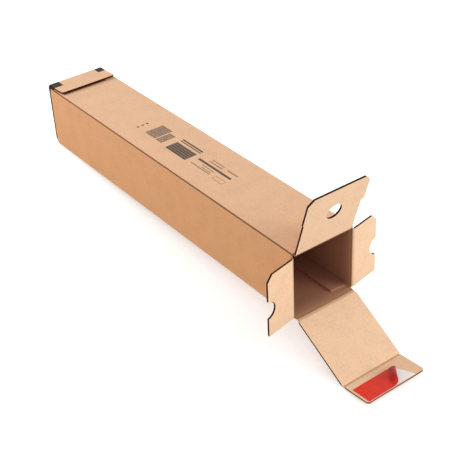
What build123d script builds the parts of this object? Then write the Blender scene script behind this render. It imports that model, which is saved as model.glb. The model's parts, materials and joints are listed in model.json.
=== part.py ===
from build123d import *
from math import asin, atan2, ceil, cos, degrees, hypot, pi, radians, sin
import os

# A square mailing tube of corrugated board, folded from one sheet. It is modelled level, with its mouth at
# y = 0, its rear at +Y, its underside at z = 0 and x = 0 in its middle plane. The open lid is folded under the
# mouth and props it up, so all pieces are tilted together at the end, until they stand on the floor.

# Board and folds, in millimetres
board = 3.0  # thickness of the corrugated board
crushed = 1.0  # thickness left in the middle of a score
score_flat = 1.0  # reach of the crushed middle from a scored end
score_run = 4.0  # reach of the whole score, up to the full board
score_gap = 0.3  # clearance between the two sides of a hinged score
bend_inside = 0.5  # inside radius of a folded corner
layer_gap = 0.2  # air between closed flaps that lie on each other

# Sleeve
inside_width = 108.0
inside_height = 108.0
inside_length = 680.0
wall_end_gap = 1.0  # from the long corners' ends to the mouth and to the rear flaps
wall_overlap = 12.0  # of each wall's folded end with the plain wall
lap_width = 30.0  # glue lap inside the bottom wall
lap_setback = 6.0  # from each end of the sleeve
lap_slant = 4.0  # by which the lap's ends narrow it
seam_setback = 1.0  # of the bottom wall's cut edge from the right side
seam_round = 0.9

# Side flaps
flap_play_above = 4.5  # between a closed side flap and the top wall
flap_play_below = 0.5  # between a closed side flap and the bottom wall
side_flap_gap = 1.0  # between the two closed side flaps
side_corner_out = 10.0  # cut corner, along the flap's length
side_corner_down = 10.5  # cut corner, along its free edge
notch_radius = 14.5
notch_drop = 8.0  # from the sleeve's middle height down to the notch's centre

# Top flaps
top_flap_play = 0.5  # between the closed flap's end and the bottom wall
top_left_inset = 0.5  # from the sleeve's left side to the flap's
top_right_inset = 4.0  # from the sleeve's right side, where the glue lap is, to the flap's
top_left_step = 1.5  # by which the root is narrower on the left
top_right_step = 5.0  # by which the root is narrower on the right
top_shoulder = 62.0  # from the score to the steps in the flap's sides
top_corner_cut = 9.5
thumb_hole_radius = 13.3
thumb_hole_reach = 64.0  # from the score to the hole's centre

# Lids and tabs
lid_inset = 2.0  # from each side of the sleeve to the lid's
lid_shoulder = 5.0  # from the score to the lid's full width
lid_slack = 0.7  # by which the front lid passes the top of the closed mouth
tab_inset = 3.0  # from each side of the sleeve to the tab's
tab_length = 50.0
tab_corner_cut = 3.0

# Adhesive strips and release liner
strip_thickness = 0.3
strip_inset = 15.0  # from the tab's score to the strip
strip_edge_margin = 0.5  # from the strip to the tab's free edge
strip_left_margin = 3.0  # from the strip to the tab's left edge
strip_right_margin = 16.5  # from the strip's longer edge to the tab's right edge
strip_slant = 13.5  # by which the strip's right end is slanted
liner_thickness = 0.25
peel_upper = 1.5  # from the strip's right end to the peel line, on the strip's upper edge
peel_lower = 42.5  # and on its lower edge
curl_radius = 7.5  # of the liner's peeled corner
curl_blunt = 0.04  # share of the peeled corner that is cut off
curl_most = 0.73  # of a full turn, before the roll would meet the flat liner

# Angles of the open flaps from straight ahead, in degrees
top_flap_angle = 72.5  # upwards
left_flap_angle = 79.5  # outwards
right_flap_angle = 100.5  # outwards
lid_angle = -31.0  # downwards
tab_fold = 36.0  # of the tab, up from the lid

half = board / 2
nose = crushed / 2
bend_outside = bend_inside + board
width = inside_width + 2 * board
height = inside_height + 2 * board
flat_width = width - 2 * bend_outside  # of the top and bottom walls between the long corners
flat_height = height - 2 * bend_outside  # of the side walls
side_x = inside_width / 2 + half  # middle of a side wall
top_z = height - half  # middle of the top wall
axis_gap = 2 * nose + score_gap  # from a scored board's last round to the axis across the score

# At the mouth each closed flap lies in front of the one before: side flaps, top flap, lid
side_axis_y = -(nose + score_gap)
top_axis_y = side_axis_y - board - layer_gap
lid_axis_y = top_axis_y - board - layer_gap

# The rear is folded in the same order. These are the middles of its closed flaps
rear_side_y = inside_length + bend_inside + layer_gap + half
rear_top_y = rear_side_y + board + layer_gap
rear_lid_y = rear_top_y + board + layer_gap
rear_y = rear_lid_y + half
stuck_tab_z = height + strip_thickness + half  # middle of a tab that is stuck down

side_flap_length = side_x - side_flap_gap / 2
side_top = inside_height / 2 - flap_play_above  # of a side flap, from the sleeve's middle height
side_bottom = flap_play_below - inside_height / 2
top_left = top_left_inset - width / 2
top_right = width / 2 - top_right_inset
top_root_left = top_left + top_left_step
top_root_right = top_right - top_right_step
top_flap_length = top_z - board - top_flap_play
lid_width = width - 2 * lid_inset
lid_length = stuck_tab_z - half + lid_slack
tab_width = width - 2 * tab_inset
strip_width = tab_length - strip_inset - strip_edge_margin
strip_left = tab_width / 2 - strip_left_margin
strip_right = strip_right_margin - tab_width / 2  # on the strip's longer edge


def board_section(start, end, root=False, tip=False):
    """Section of a board along its length. A scored end is crushed down to a round nose."""
    upper = [(start, half)]
    if root:
        upper = [(start, nose), (start + score_flat, nose), (start + score_run, half)]
    upper += [(end - score_run, half), (end - score_flat, nose), (end, nose)] if tip else [(end, half)]
    lower = [(y, -z) for y, z in reversed(upper)]
    tip_end = ThreePointArc(upper[-1], (end + nose, 0), lower[0]) if tip else Line(upper[-1], lower[0])
    root_end = ThreePointArc(lower[-1], (start - nose, 0), upper[0]) if root else Line(lower[-1], upper[0])
    return make_face(Polyline(*upper).edges() + [tip_end] + Polyline(*lower).edges() + [root_end])


def cut_board(outline, start, end, root=False, tip=False):
    """A flat board with this outline: X along its score, Y away from it, Z through it."""
    slab = extrude(Plane.YZ * board_section(start, end, root, tip), width, both=True)
    return slab & extrude(outline, board, both=True)


def folded_strap(plane, points, across, side):
    """A board folded along the points of its outer face, as wide as across."""
    outer = FilletPolyline(*points, radius=bend_outside)
    section = make_face(offset(outer, board, side=side).edges())
    return extrude(plane * section, across / 2, both=True)


def hinge(origin, across, outward):
    """Place of a flap: the middle of its score, the way along the score and the way the flap points."""
    return Plane(origin, x_dir=across, z_dir=Vector(*across).cross(Vector(*outward)))


def ahead(angle):
    """Direction in the middle plane, turned up by this angle from straight ahead."""
    return (0, -cos(radians(angle)), sin(radians(angle)))


def side_outline():
    """Side flap: one cut corner at its top, and a half-round notch in its free edge. X runs upwards."""
    edge = Polyline(
        (side_bottom, -board),
        (side_bottom, side_flap_length),
        (side_top - side_corner_down, side_flap_length),
        (side_top, side_flap_length - side_corner_out),
        (side_top, -board),
        close=True,
    )
    return make_face(edge) - Pos(-notch_drop, side_flap_length) * Circle(notch_radius)


def top_outline():
    """Top flap: a step in each side, two cut corners and a thumb hole."""
    end = top_flap_length
    edge = Polyline(
        (top_root_left, -board),
        (top_root_right, -board),
        (top_root_right, top_shoulder),
        (top_right, top_shoulder),
        (top_right, end - top_corner_cut),
        (top_right - top_corner_cut, end),
        (top_left + top_corner_cut, end),
        (top_left, end - top_corner_cut),
        (top_left, top_shoulder),
        (top_root_left, top_shoulder),
        close=True,
    )
    return make_face(edge) - Pos((top_left + top_right) / 2, thumb_hole_reach) * Circle(thumb_hole_radius)


def lid_outline():
    """Lid: it widens past its root, so that it covers the edges of the side walls."""
    root, wide = flat_width / 2, lid_width / 2
    edge = Polyline(
        (0, -board),
        (root, -board),
        (root, lid_shoulder - (wide - root)),
        (wide, lid_shoulder),
        (wide, lid_length),
        (0, lid_length),
    )
    return mirrored(edge)


def tab_outline():
    """Closure tab: a band with two small cut corners."""
    wide, cut = tab_width / 2, tab_corner_cut
    edge = Polyline((0, -board), (wide, -board), (wide, tab_length - cut), (wide - cut, tab_length), (0, tab_length))
    return mirrored(edge)


def mirrored(edge):
    """The face between half an outline and its mirror image across x = 0."""
    return make_face(edge.edges() + mirror(edge, Plane.YZ).edges())


def wall_end(place, across):
    """The scored end of a wall, behind the score of the flap at this place."""
    outline = Pos(0, -wall_overlap) * Rectangle(across, 4 * wall_overlap)
    return place * cut_board(outline, -2 * wall_overlap, -axis_gap, tip=True)


def sleeve_section():
    """Section of the four walls. The bottom wall's right edge is a cut edge, under the glue lap."""
    outer = Rectangle(width, height)
    outer = fillet(outer.vertices().sort_by_distance((width / 2, -height / 2))[1:], bend_outside)
    outer -= Pos(width / 2, -height / 2) * Rectangle(2 * seam_setback, 2 * board)
    outer = fillet(outer.vertices().sort_by_distance((width / 2, board - height / 2))[0], seam_round)
    return outer - RectangleRounded(inside_width, inside_height, bend_inside)


def lap():
    """Glue lap: it comes off the right wall and lies on the bottom wall."""
    right, front, rear = inside_width / 2, lap_setback, inside_length - lap_setback
    outline = Polyline(
        (right, front),
        (right, rear),
        (right - lap_width, rear - lap_slant),
        (right - lap_width, front + lap_slant),
        close=True,
    )
    return extrude(Pos(0, 0, board) * make_face(outline), board)


def rear_side_flap():
    """The left side flap folded in at the rear, with the end of its wall."""
    wall = (-width / 2, inside_length - 2 * wall_overlap)
    corner = (-width / 2, rear_side_y + half)
    middle = Plane((0, 0, height / 2 + (side_top + side_bottom) / 2))
    points = [wall, corner, (wall_overlap - width / 2, corner[1])]
    bend = folded_strap(middle, points, side_top - side_bottom, Side.RIGHT)
    place = hinge((-side_x, rear_side_y, height / 2), (0, 0, 1), (1, 0, 0))
    return bend + place * cut_board(side_outline(), bend_outside, side_flap_length)


def rear_top_flap():
    """The top flap folded down at the rear, over the side flaps."""
    wall, corner = (inside_length - 2 * wall_overlap, height), (rear_top_y + half, height)
    middle = Plane.YZ.offset((top_root_left + top_root_right) / 2)
    points = [wall, corner, (corner[0], height - wall_overlap)]
    bend = folded_strap(middle, points, top_root_right - top_root_left, Side.RIGHT)
    place = hinge((0, rear_top_y, top_z), (1, 0, 0), (0, 0, -1))
    return bend + place * cut_board(top_outline(), bend_outside, top_flap_length)


def rear_lid():
    """The lid folded up over the rear flaps, with its tab stuck down on the top wall."""
    top = stuck_tab_z + half
    wall, corner, fold = (inside_length - 2 * wall_overlap, 0), (rear_y, 0), (rear_y, top)
    bend = folded_strap(Plane.YZ, [wall, corner, fold, (rear_y - wall_overlap, top)], flat_width, Side.LEFT)
    lid_place = hinge((0, rear_lid_y, half), (1, 0, 0), (0, 0, 1))
    tab_place = hinge((0, rear_lid_y, stuck_tab_z), (1, 0, 0), (0, -1, 0))
    lid_board = lid_place * cut_board(lid_outline(), bend_outside - half, stuck_tab_z - bend_outside)
    return bend + lid_board + tab_place * cut_board(tab_outline(), bend_outside, tab_length)


def sleeve():
    """Four walls, the lap and the closed rear, folded from one sheet."""
    section = Plane.XZ * Pos(0, height / 2) * sleeve_section()
    side_solid = side_axis_y + axis_gap + score_run
    walls = extrude(Pos(0, side_solid, 0) * section, side_solid + wall_end_gap - inside_length)
    long_corners = section - Plane.XZ * Pos(0, height / 2) * (
        Rectangle(flat_width, 2 * height) + Rectangle(2 * width, flat_height)
    )
    corner_ends = extrude(Pos(0, wall_end_gap, 0) * long_corners, wall_end_gap - side_solid)
    ends = [
        wall_end(hinge((0, top_axis_y, top_z), (1, 0, 0), (0, -1, 0)), flat_width),
        wall_end(hinge((-side_x, side_axis_y, height / 2), (0, 0, 1), (0, -1, 0)), flat_height),
        wall_end(hinge((side_x, side_axis_y, height / 2), (0, 0, -1), (0, -1, 0)), flat_height),
        wall_end(hinge((0, lid_axis_y, half), (-1, 0, 0), (0, -1, 0)), flat_width),
    ]
    rear_left = rear_side_flap()
    body = walls + corner_ends + lap() + rear_left + mirror(rear_left, Plane.YZ)
    for piece in [*ends, rear_top_flap(), rear_lid()]:
        body += piece
    return body


def strip_outline():
    """Adhesive strip, on the tab's face, with +X to the left seen from the front. Its right end is slanted."""
    upper, lower = strip_inset, strip_inset + strip_width
    edge = Polyline(
        (strip_left, upper),
        (strip_right + strip_slant, upper),
        (strip_right, lower),
        (strip_left, lower),
        close=True,
    )
    return make_face(edge)


def peel_line():
    """Ends of the line along which the liner leaves the strip, on the strip's upper and lower edges."""
    upper = Vector(strip_right + strip_slant + peel_upper, strip_inset)
    lower = Vector(strip_right + peel_lower, strip_inset + strip_width)
    return upper, lower


def liner_curl():
    """The liner's peeled corner, rolled up on a round. X runs along the peel line and Y towards the corner."""
    upper, lower = peel_line()
    along = (lower - upper).normalized()
    corner = Vector(strip_right, strip_inset + strip_width) - upper
    corner_x, corner_s = corner.dot(along), corner.dot(Vector(-along.Y, along.X))
    span = (lower - upper).length
    quarter = pi * curl_radius / 2
    last = min((1 - curl_blunt) * corner_s, curl_most * 4 * quarter)
    roll = Circle(curl_radius) - Circle(curl_radius - liner_thickness)
    roll = extrude(Plane.YZ * Pos(0, curl_radius) * roll, span)

    def cut(first, z):
        """A quarter of the roll, from this distance from the peel line, as wide as the corner is there."""
        final = min(first + quarter, last)
        steps = [first + (final - first) * i / 4 for i in range(5)]
        near = [(corner_x * s / corner_s, curl_radius * sin(s / curl_radius)) for s in steps]
        far = [(span - (span - corner_x) * s / corner_s, curl_radius * sin(s / curl_radius)) for s in steps]
        far.reverse()
        edges = [Spline(*near), Line(near[-1], far[0]), Spline(*far), Line(far[-1], near[0])]
        return roll & extrude(Pos(0, 0, z) * make_face(edges), curl_radius)

    curl = cut(0, 0)
    for turned in range(1, ceil(last / quarter)):
        curl += cut(turned * quarter, curl_radius)
    return Plane(upper, x_dir=along, z_dir=(0, 0, 1)) * curl


def release_liner():
    """Liner: flat on the strip up to the peel line, and curled beyond it."""
    upper, lower = peel_line()
    flat = Polyline(
        (strip_left, strip_inset),
        (upper.X, upper.Y),
        (lower.X, lower.Y),
        (strip_left, lower.Y),
        close=True,
    )
    return extrude(make_face(flat), liner_thickness) + liner_curl()


# Places of the flaps at the mouth
lid_place = hinge((0, lid_axis_y, half), (-1, 0, 0), ahead(lid_angle))
left, right = radians(left_flap_angle), radians(right_flap_angle)
places = {
    "top_flap": hinge((0, top_axis_y, top_z), (1, 0, 0), ahead(top_flap_angle)),
    "left_flap": hinge((-side_x, side_axis_y, height / 2), (0, 0, 1), (-sin(left), -cos(left), 0)),
    "right_flap": hinge((side_x, side_axis_y, height / 2), (0, 0, -1), (sin(right), -cos(right), 0)),
    "lid": lid_place,
    "closure_tab": hinge(lid_place.from_local_coords((0, lid_length, 0)), (-1, 0, 0), ahead(lid_angle + tab_fold)),
}
on_tab = places["closure_tab"] * Pos(0, 0, half)
side_flap = side_outline()
pieces = {
    "sleeve": sleeve(),
    "top_flap": places["top_flap"] * cut_board(top_outline(), 0, top_flap_length, root=True),
    "left_flap": places["left_flap"] * cut_board(side_flap, 0, side_flap_length, root=True),
    "right_flap": places["right_flap"]
    * cut_board(mirror(side_flap, Plane.YZ), 0, side_flap_length, root=True),
    "lid": places["lid"] * cut_board(lid_outline(), 0, lid_length - axis_gap, root=True, tip=True),
    "closure_tab": places["closure_tab"] * cut_board(tab_outline(), 0, tab_length, root=True),
    "adhesive_strip": on_tab * extrude(strip_outline(), strip_thickness),
    "release_liner": on_tab * Pos(0, 0, strip_thickness) * release_liner(),
    "rear_adhesive_strip": hinge((0, rear_lid_y, height), (-1, 0, 0), (0, -1, 0))
    * extrude(strip_outline(), strip_thickness),
}


def tilt_to_floor():
    """Angle at which the rear's lower fold and the lowest corner of the lid or tab share a floor."""
    fold_y, fold_z = rear_y - bend_outside, bend_outside
    corners = [
        places["lid"].from_local_coords((0, lid_length - axis_gap - score_run, -half)),
        places["closure_tab"].from_local_coords((0, score_run, -half)),
        places["closure_tab"].from_local_coords((0, tab_length, -half)),
    ]
    angles = []
    for corner in corners:
        run, rise = fold_y - corner.Y, fold_z - corner.Z
        angles.append(atan2(rise, run) - asin(bend_outside / hypot(run, rise)))
    return degrees(max(angles))


# The rest pose: tilted onto the floor, with the origin below the middle of the whole object
tilt = tilt_to_floor()
tilted = Compound([Rot(-tilt, 0, 0) * piece for piece in pieces.values()]).bounding_box()
rest = Pos(-tilted.center().X, -tilted.center().Y, -tilted.min.Z) * Rot(-tilt, 0, 0)

os.makedirs("parts", exist_ok=True)
for name, piece in pieces.items():
    export_step(rest * piece, f"parts/{name}.step")
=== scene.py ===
import bpy
import json
from math import cos, pi, sin, sqrt
from mathutils import Matrix, Vector


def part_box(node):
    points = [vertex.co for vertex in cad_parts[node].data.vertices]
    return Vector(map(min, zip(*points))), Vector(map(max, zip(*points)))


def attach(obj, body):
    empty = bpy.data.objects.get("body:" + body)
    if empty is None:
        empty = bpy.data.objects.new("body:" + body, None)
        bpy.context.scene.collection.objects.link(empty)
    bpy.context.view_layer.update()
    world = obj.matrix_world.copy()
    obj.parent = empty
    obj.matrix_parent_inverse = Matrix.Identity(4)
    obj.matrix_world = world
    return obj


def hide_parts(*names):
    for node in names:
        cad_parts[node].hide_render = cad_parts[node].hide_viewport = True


# A square mailing tube of kraft corrugated board lies open on a pale floor.
# Lengths are in metres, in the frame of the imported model. A board's own frame has X along its score,
# Y away from it and Z towards the inside of the tube. Patterns are in millimetres.

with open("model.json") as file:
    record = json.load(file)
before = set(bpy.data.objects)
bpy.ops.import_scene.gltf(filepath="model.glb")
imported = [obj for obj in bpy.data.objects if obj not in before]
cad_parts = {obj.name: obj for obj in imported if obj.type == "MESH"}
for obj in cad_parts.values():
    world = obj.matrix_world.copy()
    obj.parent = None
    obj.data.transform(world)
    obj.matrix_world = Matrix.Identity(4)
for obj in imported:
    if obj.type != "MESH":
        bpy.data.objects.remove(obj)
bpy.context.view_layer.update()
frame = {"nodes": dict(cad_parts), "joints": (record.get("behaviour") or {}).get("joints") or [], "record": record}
nodes = frame["nodes"]
joints = {joint["child"]: joint for joint in frame["joints"]}
print("frame loaded:", ", ".join(sorted(nodes)))

mm = 0.001

camera = {
    "place": Vector((-0.80145, -1.10961, 1.07318)),
    "look": Vector((0.478554, 0.628340, -0.613331)),
    "lens": 80.88,
    "sensor": 36.0,
    "clipEnd": 50,
}


def makeCamera():
    data = bpy.data.cameras.new("camera")
    data.lens = camera["lens"]
    data.sensor_width = camera["sensor"]
    data.clip_end = camera["clipEnd"]
    made = bpy.data.objects.new("camera", data)
    bpy.context.scene.collection.objects.link(made)
    made.location = camera["place"]
    made.rotation_mode = "QUATERNION"
    made.rotation_quaternion = camera["look"].to_track_quat("-Z", "Y")
    bpy.context.scene.camera = made


makeCamera()

tube = {
    "side": 114 * mm,
    "board": 3 * mm,
    "inside": 680 * mm,  # from the mouth to the rear flaps
    "tabMiddle": 115.8 * mm,  # height of the middle of the tab that is stuck down
    "rearScore": 688.6 * mm,  # where that tab starts
}


def frameOf(along, outward, origin):  # a turn and a shift, from two directions and a point
    rows = Matrix((along, outward, along.cross(outward))).transposed().to_4x4()
    rows.translation = origin
    return rows


def tubeFrame():  # its origin is under the mouth, Y runs to the rear and Z up
    mount = frame["record"]["mounts"][0]
    up = -Vector(mount["axis"])
    back = up.cross(Vector((1, 0, 0)))
    return frameOf(Vector((1, 0, 0)), back, Vector(mount["pos_m"]) - back * tube["inside"] / 2)


def boardFrame(name):  # from the flap's hinge and its largest face
    joint = joints[name]
    origin = Vector(joint["pos_m"])
    along = -Vector(joint["axis"])
    mesh = nodes[name].data
    normal = max(mesh.polygons, key=lambda face: face.area).normal
    outward = normal.cross(along).normalized()
    low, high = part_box(name)
    middle = (Vector(low) + Vector(high)) / 2
    if (middle - origin).dot(outward) < 0:
        outward = -outward
    return frameOf(along, outward, origin)


onTube = tubeFrame()


# Modelling helpers

near = {
    "merge": 0.001 * mm,  # corners this close become one
    "row": 0.0005 * mm,  # corners this close to a cut lie on it
    "edge": 0.1 * mm,  # corners this close to an outline's edge belong to it
}


def alone(piece, mode="OBJECT"):
    bpy.ops.object.select_all(action="DESELECT")
    piece.select_set(True)
    bpy.context.view_layer.objects.active = piece
    if mode == "EDIT":
        bpy.ops.object.mode_set(mode="EDIT")
        bpy.ops.mesh.select_all(action="SELECT")


def done():
    bpy.ops.object.mode_set(mode="OBJECT")


def copyOf(node, name, place):  # a CAD solid laid in a frame of its own, with its corners merged
    made = bpy.data.objects.new(name, nodes[node].data.copy())
    bpy.context.scene.collection.objects.link(made)
    made.data.materials.clear()
    made.data.transform(place.inverted())
    alone(made, "EDIT")
    bpy.ops.mesh.remove_doubles(threshold=near["merge"])
    done()
    return made


def modify(piece, kind, **settings):
    modifier = piece.modifiers.new(kind.lower(), kind)
    for key, value in settings.items():
        setattr(modifier, key, value)
    alone(piece)
    bpy.ops.object.modifier_apply(modifier=modifier.name)


def drop(piece):
    bpy.data.objects.remove(piece)


def duplicate(piece, name):
    made = piece.copy()
    made.data = piece.data.copy()
    made.name = name
    bpy.context.scene.collection.objects.link(made)
    return made


def joined(pieces):
    bpy.ops.object.select_all(action="DESELECT")
    for piece in pieces:
        piece.select_set(True)
    bpy.context.view_layer.objects.active = pieces[0]
    bpy.ops.object.join()
    return pieces[0]


def apply(piece):
    alone(piece)
    bpy.ops.object.transform_apply(location=True, rotation=True, scale=True)
    return piece


def cutAcross(piece, distances):  # rows of edges at these distances along Y
    alone(piece, "EDIT")
    for distance in distances:
        bpy.ops.mesh.select_all(action="SELECT")
        bpy.ops.mesh.bisect(plane_co=(0, distance, 0), plane_no=(0, 1, 0), threshold=near["row"])
    done()


def seat(piece, place, body):
    piece.data.transform(place)
    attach(piece, body)


# Finishes


def srgb(red, green, blue):  # a colour read off the screen, as the light it stands for
    share = [c / 255 for c in (red, green, blue)]
    return [c / 12.92 if c <= 0.04045 else ((c + 0.055) / 1.055) ** 2.4 for c in share] + [1.0]


def toned(colour, share):  # darker below one, paler above it
    return [min(1.0, c * share) for c in colour[:3]] + [1.0]


class Wire:  # one socket of a shader, with plain arithmetic
    def __init__(self, finish, socket):
        self.finish = finish
        self.socket = socket

    def maths(self, operation, *values):
        return self.finish.node("Math", {"operation": operation}, dict(enumerate(values)))

    def __add__(self, other):
        return self.maths("ADD", self, other)

    def __sub__(self, other):
        return self.maths("SUBTRACT", self, other)

    def __rsub__(self, other):
        return self.maths("SUBTRACT", other, self)

    def __mul__(self, other):
        return self.maths("MULTIPLY", self, other)

    def __gt__(self, other):
        return self.maths("GREATER_THAN", self, other)

    def __lt__(self, other):
        return self.maths("LESS_THAN", self, other)

    def __abs__(self):
        return self.maths("ABSOLUTE", self)

    def atLeast(self, other):
        return self.maths("MAXIMUM", self, other)

    def wave(self):
        return self.maths("SINE", self)

    def ramp(self, low, high, first=0.0, last=1.0):  # first at low, last at high
        ends = {0: self, 1: low, 2: high, 3: first, 4: last}
        return self.finish.node("MapRange", {"interpolation_type": "SMOOTHSTEP"}, ends)

    __radd__ = __add__
    __rmul__ = __mul__


class Finish:  # one procedural material
    def __init__(self, name):
        self.material = bpy.data.materials.new(name)
        self.material.use_nodes = True
        self.tree = self.material.node_tree
        self.shader = self.tree.nodes["Principled BSDF"]

    def node(self, kind, settings=None, values=None, output=0):
        made = self.tree.nodes.new("ShaderNode" + kind)
        for key, value in (settings or {}).items():
            setattr(made, key, value)
        for key, value in (values or {}).items():
            self.feed(made.inputs[key], value)
        return Wire(self, made.outputs[output])

    def feed(self, socket, value):
        if isinstance(value, Wire):
            self.tree.links.new(value.socket, socket)
        else:
            socket.default_value = value

    def mix(self, factor, first, last):  # first at none, last at one
        values = {0: factor, 6: first, 7: last}
        return self.node("Mix", {"data_type": "RGBA"}, values, output=2)

    def parts(self, vector):
        first = self.node("SeparateXYZ", None, {0: vector})
        outputs = first.socket.node.outputs
        return [Wire(self, outputs[i]) for i in range(3)]

    def placed(self, place):  # Object coordinates in a board's own frame, in millimetres
        spot = self.node("TexCoord", output=3)
        turn = {0: spot, 1: place.translation, 2: place.to_euler(), 3: (mm, mm, mm)}
        return self.node("Mapping", {"vector_type": "TEXTURE"}, turn)

    def noise(self, vector, scale, detail, stretch=(1, 1, 1)):
        stretched = self.node("Mapping", None, {0: vector, 3: [scale * s for s in stretch]})
        return self.node("TexNoise", None, {"Vector": stretched, "Scale": 1.0, "Detail": detail})

    def bump(self, height, distance, strength):
        values = {"Height": height, "Distance": distance, "Strength": strength}
        self.set(Normal=self.node("Bump", None, values))

    def set(self, **values):
        for key, value in values.items():
            self.feed(self.shader.inputs[key.replace("_", " ")], value)


# Colours and wear of the paper. A pattern is its grains a millimetre, its detail and its stretch, here and
# in the other finishes. Its range says between which values of the noise it comes in.
kraft = {
    "outer": srgb(231, 169, 117),
    # paler than the sides: painted sheen of the light on the top wall, also used on the bottom wall and the rear
    # tab
    "outerPaintedSheen": srgb(234, 187, 149),
    "inner": srgb(243, 203, 166),
    "edge": srgb(66, 38, 23),  # a cut edge, darker paper with painted shade of the open flutes
    "medium": srgb(92, 56, 34),  # the flutes, darkened with painted shade inside them
    "paleEdge": srgb(200, 146, 108),
    "fold": srgb(190, 138, 98),  # crushed board round a fold
    "mark": srgb(50, 44, 44),  # the dark fields at the rear corners
    "dark": 0.45,  # tone of the darkest fibres
    "pale": 1.35,  # tone of the palest specks
    "cloud": (0.035, 4.0),
    "cloudRange": (0.35, 0.7),
    "mottle": 0.10,  # share by which clouds are darker
    "grain": (0.42, 3.0),
    "grainRange": (0.4, 0.7),
    "grainDepth": 0.13,
    "fibre": (1.1, 2.0, (1, 0.22, 1)),
    "fibreRange": (0.58, 0.72),
    "fleck": 0.26,  # share by which fibres are darker
    "speck": (0.66, 1.0, (0.5, 1, 1)),
    "speckRange": (0.62, 0.74),
    "speckShare": 0.3,
    "flutePitch": 6.5,  # between the faint lines over the flutes
    "fluteRange": (0.2, 1.0),
    "fluteLine": 0.025,
    "roughness": 0.8,
    "fibreShine": 0.1,  # by which fibres are less rough
    "specular": 0.3,
    "sheen": 0.06,
    "sheenRoughness": 0.5,
    "fibreRelief": 0.5,
    "grainRelief": 0.8,
    "fluteRelief": 0.7,
    "relief": 0.06 * mm,
    "reliefStrength": 0.6,
    "creaseMiddle": 0.6,  # from the score's axis to the middle of its dark line of crushed paper and painted shade
    "creaseRange": (0.4, 2.6),  # distance from that middle over which the line fades
    "creaseShadeShare": 0.3,
}


def kraftColour(finish, spot, colour, across):  # paper colour with clouds, fibres and flute lines
    cloud = finish.noise(spot, *kraft["cloud"])
    grain = finish.noise(spot, *kraft["grain"])
    fibre = finish.noise(spot, *kraft["fibre"])
    speck = finish.noise(spot, *kraft["speck"])
    line = (across * (2 * pi / kraft["flutePitch"])).wave().ramp(*kraft["fluteRange"])
    shade = cloud.ramp(*kraft["cloudRange"]) * kraft["mottle"]
    shade = shade + grain.ramp(*kraft["grainRange"]) * kraft["grainDepth"]
    shade = shade + fibre.ramp(*kraft["fibreRange"]) * kraft["fleck"] + line * kraft["fluteLine"]
    paper = finish.mix(shade - kraft["mottle"] / 3, colour, toned(colour, kraft["dark"]))
    specks = speck.ramp(*kraft["speckRange"]) * kraft["speckShare"]
    paper = finish.mix(specks, paper, toned(colour, kraft["pale"]))
    finish.set(Roughness=kraft["roughness"] - fibre * kraft["fibreShine"])
    finish.set(Specular_IOR_Level=kraft["specular"])
    finish.set(Sheen_Weight=kraft["sheen"], Sheen_Roughness=kraft["sheenRoughness"])
    height = fibre * kraft["fibreRelief"] + grain * kraft["grainRelief"] + line * kraft["fluteRelief"]
    finish.bump(height, kraft["relief"], kraft["reliefStrength"])
    return paper


def field(x, y, values):  # one inside a rectangle, none outside
    middleX, middleY, width, length = values[:4]
    return (abs(x - middleX) < width / 2) * (abs(y - middleY) < length / 2)


def boardFinish(name, place, colour, marks=()):  # one side of a board, darker at the score: crushed paper, with painted shade
    finish = Finish(name)
    spot = finish.placed(place)
    x, y = finish.parts(spot)[:2]
    paper = kraftColour(finish, spot, colour, x)
    for values in marks:
        paper = finish.mix(field(x, y, values), paper, kraft["mark"])
    # crushed paper and painted shade along the score, in the flutes' colour
    crease = 1.0 - abs(y - kraft["creaseMiddle"]).ramp(*kraft["creaseRange"])
    finish.set(Base_Color=finish.mix(crease * kraft["creaseShadeShare"], paper, kraft["medium"]))
    return finish.material


torn = {
    "fray": (2.2, 3.0),
    "range": (0.3, 0.7),
    "dark": 0.6,  # tone of the darkest places
    "roughness": 0.95,
    "specular": 0.2,
    "relief": 0.1 * mm,
    "reliefStrength": 0.7,
}


def edgeFinish(name, place, colour):  # cut paper, rough and uneven
    finish = Finish(name)
    spot = finish.placed(place)
    fray = finish.noise(spot, *torn["fray"])
    finish.set(Base_Color=finish.mix(fray.ramp(*torn["range"]), colour, toned(colour, torn["dark"])))
    finish.set(Roughness=torn["roughness"], Specular_IOR_Level=torn["specular"])
    finish.bump(fray, torn["relief"], torn["reliefStrength"])
    return finish.material


# Corrugated boards: two liners and a fluted sheet between them

fluted = {
    "pitch": 6.5 * mm,
    "steps": 12,  # flat stretches in one flute
    "spare": 4,  # flat stretches past the board's sides
    "liner": 0.32 * mm,
    "paper": 0.26 * mm,
    "nose": 0.5 * mm,  # half the thickness left in a score
    "rounds": (0.6, 0.9),  # rows in the round at a scored end, as shares of the nose
    "tip": 0.12,  # least height of that round, as a share of the nose
    "flat": 1.0 * mm,  # reach of the crushed middle
    "run": 4.0 * mm,  # reach of the whole score
    "upright": 0.5,  # least Z of a normal that faces up or down
}


def outlineOf(piece, level, name):  # the flat shape of a board, cut out of its solid
    made = duplicate(piece, name)
    alone(made, "EDIT")
    bpy.ops.mesh.bisect(
        plane_co=(0, 0, level),
        plane_no=(0, 0, 1),
        use_fill=True,
        clear_inner=True,
        clear_outer=True,
        threshold=0,
    )
    bpy.ops.mesh.select_all(action="SELECT")
    bpy.ops.mesh.normals_make_consistent(inside=False)
    done()
    for vertex in made.data.vertices:
        vertex.co.z = 0.0
    if sum(face.normal.z * face.area for face in made.data.polygons) < 0:
        made.data.flip_normals()
    return made


def layerOf(outline, name, low, high):  # a sheet of paper between two heights
    made = duplicate(outline, name)
    for vertex in made.data.vertices:
        vertex.co.z = high
    modify(made, "SOLIDIFY", thickness=high - low, offset=-1.0, use_even_offset=False)
    return made


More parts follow.
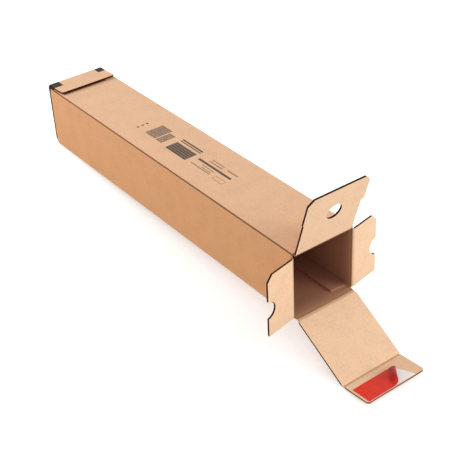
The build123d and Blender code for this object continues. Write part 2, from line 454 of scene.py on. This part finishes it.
def fluteSheet(outline, name):  # the wave, cut to the board's outline
    box = [vertex.co for vertex in outline.data.vertices]
    low = Vector([min(p[i] for p in box) for i in range(3)])
    high = Vector([max(p[i] for p in box) for i in range(3)])
    step = fluted["pitch"] / fluted["steps"]
    count = int((high.x - low.x) / step) + fluted["spare"]
    bpy.ops.mesh.primitive_grid_add(
        x_subdivisions=count,
        y_subdivisions=1,
        size=1,
        location=((low.x + high.x) / 2, (low.y + high.y) / 2, 0),
        scale=(count * step, high.y - low.y + fluted["pitch"], 1),
    )
    sheet = bpy.context.object
    sheet.name = name
    apply(sheet)
    swing = tube["board"] / 2 - fluted["liner"] - fluted["paper"] / 2
    for vertex in sheet.data.vertices:
        vertex.co.z = swing * cos(2 * pi * vertex.co.x / fluted["pitch"])
    modify(sheet, "SOLIDIFY", thickness=fluted["paper"], offset=0.0)
    block = layerOf(outline, name + "_block", -tube["board"], tube["board"])
    modify(sheet, "BOOLEAN", operation="INTERSECT", solver="EXACT", object=block)
    drop(block)
    return sheet


def squeeze(distance):  # height left at this distance from a scored end, as a share of the board's
    full = tube["board"] / 2
    nose, flat, run = fluted["nose"], fluted["flat"], fluted["run"]
    if distance < 0:
        return max(fluted["tip"] * nose, sqrt(max(0.0, nose ** 2 - distance ** 2))) / full
    share = min(1.0, max(0.0, (distance - flat) / (run - flat)))
    return (nose + (full - nose) * share) / full


def squeezeBoard(board, tip=None):  # crushed at its root, and at its other score if it has one
    flat, run = fluted["flat"], fluted["run"]
    first, second = [fluted["nose"] * share for share in fluted["rounds"]]
    rows = [-second, -first, 0.0, flat, run]
    if tip:
        rows += [tip - run, tip - flat, tip, tip + first, tip + second]
    cutAcross(board, rows)
    for vertex in board.data.vertices:
        height = squeeze(vertex.co.y)
        if tip:
            height = min(height, squeeze(tip - vertex.co.y))
        vertex.co.z *= height


rearTab = {
    "start": 14 * mm,  # of the board made for the stuck tab, from the rear score
    "springy": 36 * mm,  # length that lifts
    "lift": 2.3 * mm,  # of the free edge
    "rows": 8,
    # the rear tab's cut edge and flutes, dark brown with painted shade of the open flutes
    "cut": srgb(96, 54, 31),
    "under": 0.05 * mm,  # from the top wall to the block that clears the tab's room
    "room": 3,  # height of that block, in boards
}


def bowBoard(board):  # the stuck tab has sprung up a little at its free edge
    start, end = rearTab["start"], rearTab["start"] + rearTab["springy"]
    count = rearTab["rows"]
    cutAcross(board, [start + (end - start) * i / count for i in range(1, count)])
    for vertex in board.data.vertices:
        share = min(1.0, max(0.0, (vertex.co.y - start) / (end - start)))
        vertex.co.z -= rearTab["lift"] * share ** 2


def boardSlot(normal, slot, side):  # the side that shows, 2 a cut edge, 3 the flutes and what faces them
    facing = normal.z * side
    if facing > fluted["upright"]:
        return slot
    return 2 if side and facing > -fluted["upright"] else 3


def makeBoard(name, source, place, body, scored, outside, marks=(), cut=kraft["edge"]):
    outline = outlineOf(source, 0.0, name + "_outline")
    half = tube["board"] / 2
    inner = layerOf(outline, name + "_inner", half - fluted["liner"], half)
    outer = layerOf(outline, name + "_outer", -half, fluted["liner"] - half)
    sheet = fluteSheet(outline, name + "_flutes")
    finishes = [
        boardFinish(name + "_inside", place, kraft["inner"]),
        boardFinish(name + "_outside", place, outside, marks),
        edgeFinish(name + "_cut", place, cut),
        edgeFinish(name + "_flute", place, kraft["medium"] if cut == kraft["edge"] else cut),
    ]
    for piece, slot, side in ((inner, 0, 1), (outer, 1, -1), (sheet, 3, 0)):
        piece.data.materials.clear()
        for material in finishes:
            piece.data.materials.append(material)
        for face in piece.data.polygons:
            face.material_index = boardSlot(face.normal, slot, side)
    board = joined([inner, outer, sheet])
    board.name = name + "_board"
    end = max(vertex.co.y for vertex in outline.data.vertices)
    drop(outline)
    if scored == "none":
        bowBoard(board)
    else:
        squeezeBoard(board, end - fluted["nose"] if scored == "both" else None)
    seat(board, place, body)
    return board


flaps = {
    "top_flap": {"carrier": "sleeve", "scored": "root"},
    "left_flap": {"carrier": "sleeve", "scored": "root"},
    "right_flap": {"carrier": "sleeve", "scored": "root"},
    "lid": {"carrier": "sleeve", "scored": "both"},
    "closure_tab": {"carrier": "lid", "scored": "root", "cut": kraft["paleEdge"]},
}

places = {name: boardFrame(name) for name in flaps}
for name, values in flaps.items():
    solid = copyOf(name, name + "_solid", places[name])
    cut = values.get("cut", kraft["edge"])
    board = makeBoard(name, solid, places[name], name, values["scored"], kraft["outer"], cut=cut)
    drop(solid)
    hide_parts(name)
    print("corrugated board:", name, len(board.data.polygons), "faces")


# Sleeve

sleeve = {
    "cornerRange": (1.3, 2.6),  # distance from a long corner over which its dark line of cracked paper and painted shade fades
    "cornerCrackAndShade": srgb(118, 70, 42),
    "topFrom": 113.0,  # height from which the top wall is printed
    "markHeight": 112.8,  # and from which its rear corners are marked
    "markDepth": 670.0,
    "shadeFrom": -60.0,  # depth in the mouth from which the inside gets painted shade
    "shadeTo": 25.0,
    "insideShadeColour": srgb(150, 92, 66),
    "insideShadeShare": 0.9,
    "crushed": 7 * mm,  # reach of the crushed board behind the mouth
    "insidePlay": 0.3 * mm,  # how far into the walls a face still counts as inside
    "flapPlay": 2 * mm,  # and how far into the rear flaps
    "skin": 0.4 * mm,  # depth below the outer faces from which a face may be cut or crushed
    "square": 0.9,  # least part of a normal that counts as straight
}

# Printed fields on the top wall: middle x, middle y, width, length and strength. A striped field also
# has the direction in which its stripes follow one another, and their pitch.
prints = {
    "upperField": (0.0, 413.0, 36.0, 29.0, 0.8, "y", 4.8),
    "lowerField": (-3.5, 387.0, 30.0, 17.0, 0.76, "y", 5.6),
    "darkField": (-8.5, 336.0, 25.0, 55.0, 1.0, "x", 5.0),
    "longBarOne": (15.2, 336.0, 3.2, 56.0, 1.0),
    "longBarTwo": (10.3, 336.0, 2.4, 56.0, 0.9),
    "thickBar": (-1.2, 254.5, 4.6, 84.0, 0.95),
    "thinOne": (7.0, 262.0, 2.0, 34.0, 0.8),
    "thinTwo": (12.8, 263.0, 2.0, 31.0, 0.7),
    "thinThree": (11.0, 224.0, 3.0, 26.0, 0.65),
    "lowOne": (-17.0, 271.0, 1.8, 49.0, 0.8),
    "lowTwo": (-8.2, 262.0, 1.8, 31.0, 0.7),
    "lowThree": (-13.2, 260.0, 1.6, 26.0, 0.75),
}
dots = {"x": -7.5, "y": 450.0, "pitch": 9.0, "radius": 2.6, "share": 0.8}  # three dots in a row
frameBox = {"x": -16.5, "y": 223.0, "width": 9.5, "length": 25.0, "line": 1.2, "share": 0.6}
cornerMarks = ((-46.0, 680.0, 21.0, 23.0), (47.5, 682.0, 16.0, 22.0))

ink = {
    "colour": srgb(58, 50, 48),
    "stripeRange": (-0.5, 0.2),
    "between": {"x": 0.72, "y": 0.45},  # strength between the stripes
    "breaks": (0.45, 1.0, (1, 0.6, 1)),  # patches where the stripes run together
    "breakRange": (0.42, 0.56),
    "breakShare": 0.85,
    "wear": (1.1, 3.0),
    "wearRange": (0.25, 0.6),
    "worn": 0.8,  # strength left in the worn spots
}


def inkMask(finish, spot, x, y):  # how much of the ink is on the paper
    total = None
    broken = finish.noise(spot, *ink["breaks"]).ramp(*ink["breakRange"])
    for values in prints.values():
        strength, *stripes = values[4:]
        mark = field(x, y, values) * strength
        if stripes:
            direction, pitch = stripes
            way = y if direction == "y" else x
            low = ink["between"][direction]
            stripe = (way * (2 * pi / pitch)).wave().ramp(*ink["stripeRange"], low, 1.0)
            mark = mark * stripe.atLeast(broken * ink["breakShare"])
        total = mark if total is None else total.atLeast(mark)
    for step in (-1, 0, 1):
        middle = (dots["x"] + step * dots["pitch"], dots["y"], tube["side"] / mm)
        away = finish.node("VectorMath", {"operation": "DISTANCE"}, {0: spot, 1: middle}, 1)
        total = total.atLeast((away < dots["radius"]) * dots["share"])
    size = (frameBox["x"], frameBox["y"], frameBox["width"], frameBox["length"])
    inside = (size[0], size[1], size[2] - 2 * frameBox["line"], size[3] - 2 * frameBox["line"])
    total = total.atLeast((field(x, y, size) - field(x, y, inside)) * frameBox["share"])
    return total * finish.noise(spot, *ink["wear"]).ramp(*ink["wearRange"], ink["worn"], 1.0)


def cornerLine(finish, x, z, paper):  # the folded long corners are darker in their round: cracked paper, with painted shade
    middle = tube["side"] / 2 / mm
    nearSide = abs(abs(x) - middle).ramp(*sleeve["cornerRange"], 1.0, 0.0)
    nearTop = abs(abs(z - middle) - middle).ramp(*sleeve["cornerRange"], 1.0, 0.0)
    return finish.mix(nearSide * nearTop, paper, sleeve["cornerCrackAndShade"])


def outsideFinish(across):  # X runs across the flutes of the top and bottom walls, Z across the sides'
    finish = Finish("sleeve_outside_" + across)
    spot = finish.placed(onTube)
    x, y, z = finish.parts(spot)
    if across == "x":
        # the top and bottom walls take the paler colour with the painted sheen
        paper = kraftColour(finish, spot, kraft["outerPaintedSheen"], x)
        printed = inkMask(finish, spot, x, y) * (z > sleeve["topFrom"])
        paper = finish.mix(printed, paper, ink["colour"])
    else:
        paper = kraftColour(finish, spot, kraft["outer"], z)
    paper = cornerLine(finish, x, z, paper)
    for values in cornerMarks:
        marked = field(x, y, values) * (z > sleeve["markHeight"]) * (y > sleeve["markDepth"])
        paper = finish.mix(marked, paper, kraft["mark"])
    finish.set(Base_Color=paper)
    return finish.material


def shadedInsideFinish():  # painted shade, darker with depth into the tube
    finish = Finish("sleeve_inside_painted_shade")
    spot = finish.placed(onTube)
    x, y, z = finish.parts(spot)
    paper = kraftColour(finish, spot, kraft["inner"], x + z)
    insideShade = y.ramp(sleeve["shadeFrom"], sleeve["shadeTo"]) * sleeve["insideShadeShare"]
    finish.set(Base_Color=finish.mix(insideShade, paper, sleeve["insideShadeColour"]))
    return finish.material


def sleeveSlot(face):  # 0 top and bottom walls, 1 side walls, 2 inside, 3 cut edges, 4 folds at the mouth
    x, y, z = face.center
    n = face.normal
    half = tube["side"] / 2
    wall = half - tube["board"] + sleeve["insidePlay"]
    if abs(x) < wall and abs(z - half) < wall and y < tube["inside"] + sleeve["flapPlay"]:
        return 2
    skin = half - sleeve["skin"]
    if y < sleeve["crushed"] and abs(x) < skin and abs(z - half) < skin:
        return 4
    square = sleeve["square"]
    if (abs(n.x) > square and abs(x) < skin) or (n.y < -square and z > tube["side"]):
        return 3
    return 1 if abs(n.x) > abs(n.z) + abs(n.y) else 0


def tabRoom():  # a block over the part of the stuck tab that is a board of its own
    front = tube["rearScore"] - rearTab["start"]
    high = tube["board"] * rearTab["room"]
    bpy.ops.object.select_all(action="DESELECT")
    bpy.ops.mesh.primitive_cube_add(
        size=1,
        location=(0, front - tube["side"] / 2, tube["side"] + rearTab["under"] + high / 2),
        scale=(tube["side"] * 2, tube["side"], high),
    )
    return apply(bpy.context.object)


def makeRearTab(body):  # the free part of the stuck tab, taken off the sleeve and made of liners and flutes
    flat = frameOf(Vector((1, 0, 0)), Vector((0, -1, 0)), Vector((0, tube["rearScore"], tube["tabMiddle"])))
    solid = duplicate(body, "rear_tab_solid")
    solid.data.transform(flat.inverted())
    alone(solid, "EDIT")
    start = (0, rearTab["start"], 0)
    bpy.ops.mesh.bisect(plane_co=start, plane_no=(0, 1, 0), use_fill=True, clear_inner=True, threshold=0)
    done()
    marks = [(x, tube["rearScore"] / mm - y, width, length) for x, y, width, length in cornerMarks]
    # its outside takes the walls' paler colour with the painted sheen
    makeBoard("rear_tab", solid, onTube @ flat, "sleeve", "none", kraft["outerPaintedSheen"], marks, rearTab["cut"])
    drop(solid)
    block = tabRoom()
    modify(body, "BOOLEAN", operation="DIFFERENCE", solver="EXACT", object=block)
    drop(block)


def makeSleeve():
    body = copyOf("sleeve", "sleeve_board", onTube)
    makeRearTab(body)
    finishes = [
        outsideFinish("x"),
        outsideFinish("z"),
        shadedInsideFinish(),
        edgeFinish("sleeve_cut", onTube, kraft["edge"]),
        edgeFinish("sleeve_fold", onTube, kraft["fold"]),
    ]
    for material in finishes:
        body.data.materials.append(material)
    for face in body.data.polygons:
        face.material_index = sleeveSlot(face)
    seat(body, onTube, "sleeve")
    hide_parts("sleeve")
    return body


sleeveBoard = makeSleeve()
print("sleeve and rear tab:", len(sleeveBoard.data.polygons), "faces")


# Paper webs that close the gap of each hinged score

web = {
    "radius": 0.47 * mm,
    "reach": 1.5 * mm,  # towards the carrier
    "sides": 20,
    "root": 1.5 * mm,  # corners this close to the hinge give the score's length
    "behind": 0.01 * mm,  # corners past this on the carrier's side take the reach
}


def makeWeb(name, carrier):
    flap = places[name]
    local = [flap.inverted() @ vertex.co for vertex in nodes[name].data.vertices]
    root = [point.x for point in local if abs(point.y) < web["root"]]
    low, high = min(root), max(root)
    bpy.ops.object.select_all(action="DESELECT")
    bpy.ops.mesh.primitive_cylinder_add(
        vertices=web["sides"],
        radius=web["radius"],
        depth=high - low,
        location=((low + high) / 2, 0, 0),
        rotation=(0, pi / 2, 0),
    )
    made = apply(bpy.context.object)
    made.name = name + "_crease"
    for vertex in made.data.vertices:
        if vertex.co.y < -web["behind"]:
            vertex.co.y -= web["reach"]
    away = places["lid"].col[1].xyz if carrier == "lid" else -onTube.col[1].xyz  # from carrier to flap
    place = frameOf(flap.col[0].xyz, away, flap.translation)
    made.data.materials.append(edgeFinish(name + "_crease", place, kraft["outer"]))
    seat(made, place, carrier)


for name, values in flaps.items():
    makeWeb(name, values["carrier"])
print("creases made")


# Adhesive strips and release liner

film = {
    "cloud": (0.12, 3.0),
    "crinkle": (0.8, 3.0),
    "range": (0.3, 0.7),
    "roughness": (0.22, 0.42),
    "coat": 0.3,
    "relief": 0.08 * mm,
    "reliefStrength": 0.5,
}
strips = {
    "adhesive_strip": (srgb(254, 250, 248), srgb(250, 242, 243)),
    "rear_adhesive_strip": (srgb(132, 88, 58), srgb(112, 72, 46)),  # dark brown: painted shade in the gap under the lifted tab
}

liner = {
    "thickness": 0.16 * mm,
    "gap": 0.03 * mm,
    "peelUpper": 3.5 * mm,  # from the strip's right end to the peel line, on its upper edge
    "peelLower": 46.5 * mm,
    "kept": 0.96,  # share of the peeled corner's length, which ends blunt
    "radius": 8.8 * mm,  # of the curl where it is widest
    "widest": 0.45,  # that place, as a share of the peel line from its upper end
    "narrow": 1.5,  # how fast it gets tighter away from there
    "lead": 3 * mm,  # length over which the curl begins
    "tighten": 0.012 / mm,  # share by which it winds inwards over its length
    "sag": 0.7,  # height of the curl as a share of a round one's
    "row": 0.6 * mm,  # width of one row of faces in the curl
    "steps": 60,  # in which the way round the curl is added up
    "smooth": 0.6,  # angle up to which faces are smoothed
    "red": srgb(232, 44, 28),
    # the back side, a duller red darkened as painted shade inside the curl
    "back": srgb(172, 20, 36),
    "dark": 0.72,
    "cloud": (0.1, 3.0),
    "cloudRange": (0.35, 0.75),
    "cloudShare": 0.5,
    "streak": (0.5, 2.0, (0.15, 1, 1)),
    "streakRange": (0.5, 0.8),
    "streakShare": 0.25,
    "shineRange": (0.3, 0.7),
    "roughness": (0.32, 0.5),
    "streakRelief": 0.6,
    "relief": 0.12 * mm,
    "reliefStrength": 0.4,
}


def adhesiveFinish(name, light, dark):
    finish = Finish(name)
    spot = finish.placed(places["closure_tab"])
    cloud = finish.noise(spot, *film["cloud"])
    crinkle = finish.noise(spot, *film["crinkle"])
    finish.set(Base_Color=finish.mix(cloud.ramp(*film["range"]), light, dark), Coat_Weight=film["coat"])
    finish.set(Roughness=crinkle.ramp(*film["range"], *film["roughness"]))
    finish.bump(crinkle, film["relief"], film["reliefStrength"])
    return finish.material


def linerFinish(name, colour):
    finish = Finish(name)
    spot = finish.placed(places["closure_tab"])
    cloud = finish.noise(spot, *liner["cloud"])
    streak = finish.noise(spot, *liner["streak"])
    shade = cloud.ramp(*liner["cloudRange"]) * liner["cloudShare"]
    shade = shade + streak.ramp(*liner["streakRange"]) * liner["streakShare"]
    finish.set(Base_Color=finish.mix(shade, colour, toned(colour, liner["dark"])))
    finish.set(Roughness=streak.ramp(*liner["shineRange"], *liner["roughness"]))
    finish.bump(streak * liner["streakRelief"] + cloud, liner["relief"], liner["reliefStrength"])
    return finish.material


def curled(length, radius):  # where a point at this distance past the peel line comes to lie
    step = length / liner["steps"]
    along = up = angle = 0.0
    for i in range(liner["steps"]):
        gone = (i + 0.5) * step
        along += cos(angle) * step
        up += sin(angle) * step
        angle += min(1.0, gone / liner["lead"]) * step / radius / (1 - liner["tighten"] * gone)
    return along, up * liner["sag"]


def peelFrame(outline):  # X runs down the peel line, Y towards the peeled corner
    corners = [vertex.co.copy() for vertex in outline.data.vertices]
    upperY = min(c.y for c in corners)
    lowerY = max(c.y for c in corners)
    upperX = min(c.x for c in corners if c.y < upperY + near["edge"]) + liner["peelUpper"]
    lowerX = min(c.x for c in corners if c.y > lowerY - near["edge"]) + liner["peelLower"]
    upper = Vector((upperX, upperY, 0))
    along = (Vector((lowerX, lowerY, 0)) - upper).normalized()
    return frameOf(along, Vector((-along.y, along.x, 0)), upper)


def curlCorner(sheet):  # of a flat sheet that lies in the peel line's frame
    end = max(vertex.co.y for vertex in sheet.data.vertices) * liner["kept"]
    alone(sheet, "EDIT")
    bpy.ops.mesh.bisect(plane_co=(0, end, 0), plane_no=(0, 1, 0), clear_outer=True, threshold=0)
    done()
    rows = int(end / liner["row"])
    cutAcross(sheet, [end * i / rows for i in range(rows)])
    span = max(vertex.co.x for vertex in sheet.data.vertices)
    for vertex in sheet.data.vertices:
        if vertex.co.y > 0:
            share = min(1.0, max(0.0, vertex.co.x / span))
            radius = liner["radius"] * (1 - liner["narrow"] * (share - liner["widest"]) ** 2)
            vertex.co.y, vertex.co.z = curled(vertex.co.y, radius)


def makeLiner():
    place = places["closure_tab"]
    strip = copyOf("adhesive_strip", "strip_solid", place)
    top = max(vertex.co.z for vertex in strip.data.vertices)
    outline = outlineOf(strip, top - near["edge"], "liner_outline")
    drop(strip)
    peel = peelFrame(outline)
    outline.data.transform(peel.inverted())
    curlCorner(outline)
    outline.data.transform(peel)
    for vertex in outline.data.vertices:
        vertex.co.z += top + liner["gap"]
    outline.name = "liner_sheet"
    outline.data.materials.append(linerFinish("liner_front", liner["red"]))
    # the back side is darker as painted shade inside the curl
    outline.data.materials.append(linerFinish("liner_back_and_shade", liner["back"]))
    modify(outline, "SOLIDIFY", thickness=liner["thickness"], offset=1.0, material_offset=1)
    alone(outline)
    bpy.ops.object.shade_smooth_by_angle(angle=liner["smooth"])
    seat(outline, place, "closure_tab")
    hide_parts("release_liner")


for name, colours in strips.items():
    nodes[name].data.materials.clear()
    nodes[name].data.materials.append(adhesiveFinish(name + "_film", *colours))
makeLiner()
print("liner made")


# Floor, light and background

studio = {
    "key": {"place": (1.3, -1.7, 0.85), "size": 1.2, "watts": 22.0},
    "fill": {"place": (-0.9, 1.15, 0.95), "size": 1.0, "watts": 9.5},
    "sky": 0.7,
    "floorSide": 30.0,
    "floorBounce": 0.7,  # grey of the floor as the object's light meets it
    "floorSeen": 1.0,  # and as the camera sees it
    "floorLift": 0.34,  # light of its own, for the camera alone
}


def makeSky():  # white to the camera, paler light to all else
    world = bpy.data.worlds.new("studio")
    bpy.context.scene.world = world
    world.use_nodes = True
    tree = world.node_tree
    background = tree.nodes["Background"]
    background.inputs["Color"].default_value = (1, 1, 1, 1)
    path = tree.nodes.new("ShaderNodeLightPath")
    strength = tree.nodes.new("ShaderNodeMapRange")
    strength.inputs["To Min"].default_value = studio["sky"]
    strength.inputs["To Max"].default_value = 1.0
    tree.links.new(path.outputs["Is Camera Ray"], strength.inputs["Value"])
    tree.links.new(strength.outputs["Result"], background.inputs["Strength"])


def makeLamp(name):
    values = studio[name]
    data = bpy.data.lights.new(name, "AREA")
    data.shape = "DISK"
    data.size = values["size"]
    data.energy = values["watts"]
    lamp = bpy.data.objects.new(name, data)
    bpy.context.scene.collection.objects.link(lamp)
    lamp.location = values["place"]
    lamp.rotation_mode = "QUATERNION"
    lamp.rotation_quaternion = (-lamp.location).to_track_quat("-Z", "Y")


def makeFloor():
    bpy.ops.object.select_all(action="DESELECT")
    bpy.ops.mesh.primitive_plane_add(size=studio["floorSide"])
    floor = bpy.context.object
    floor.name = "floor"
    finish = Finish("floor")
    seen = finish.node("LightPath")
    colour = finish.mix(seen, [studio["floorBounce"]] * 3 + [1], [studio["floorSeen"]] * 3 + [1])
    finish.set(Base_Color=colour, Roughness=1.0, Specular_IOR_Level=0.0)
    glow = finish.mix(seen, (0, 0, 0, 1), (1, 1, 1, 1))
    finish.set(Emission_Color=glow, Emission_Strength=studio["floorLift"])
    floor.data.materials.append(finish.material)


makeSky()
makeLamp("key")
makeLamp("fill")
makeFloor()
bpy.context.scene.view_settings.view_transform = "Standard"
print("studio made")
